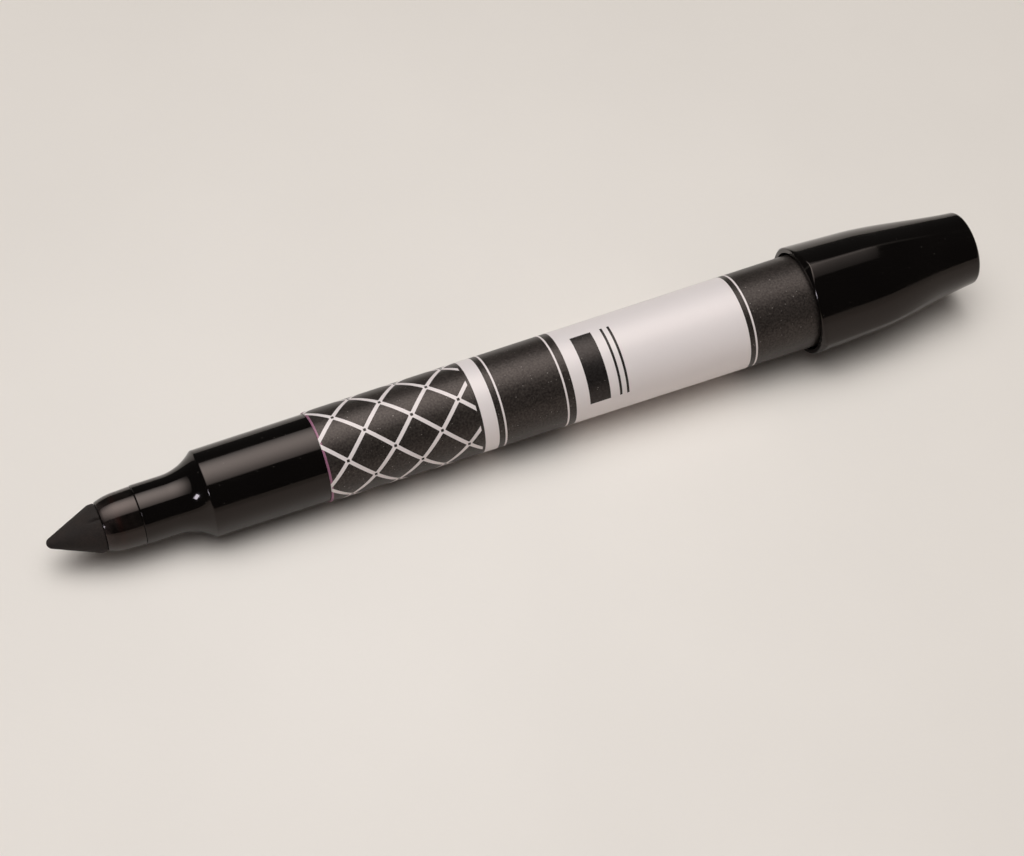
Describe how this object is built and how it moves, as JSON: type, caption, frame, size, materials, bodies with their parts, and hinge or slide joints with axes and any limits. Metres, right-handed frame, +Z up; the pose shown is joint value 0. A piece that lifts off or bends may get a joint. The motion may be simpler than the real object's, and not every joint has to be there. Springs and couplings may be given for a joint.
{
  "type": "fine point marker",
  "caption": "Felt tip marker with a conical nib in a collar, a stepped barrel with a label sleeve, and a lined cap posted on its tail.",
  "frame": {"origin": "on the table, under the middle of the marker's length with its cap posted", "axes": "+X along the marker from the nib to the cap's closed end, +Z up from the table"},
  "size_m": [0.1693, 0.0206, 0.0206],
  "materials": {
    "felt": "matte ink-soaked felt",
    "collar": "glossy smoke-tinted plastic",
    "black_plastic": "glossy moulded black",
    "label_film": "satin film printed charcoal and white",
    "ink_fibre": "ink-soaked fibre",
    "clear_film": "thin film",
    "liner_plastic": "soft satin polyethylene"
  },
  "bodies": {
    "marker": {"nib": "felt", "nib_collar": "collar", "barrel": "black_plastic", "label": "label_film", "ink_reservoir": "ink_fibre", "reservoir_wrap": "clear_film", "tail_plug": "black_plastic"},
    "cap": {"cap_shell": "black_plastic", "cap_liner": "liner_plastic"}
  },
  "joints": [
    {"name": "cap_pull", "type": "slide", "parent": "marker", "child": "cap", "axis": [1, 0, 0], "range_m": [0, 0.03]}
  ]
}
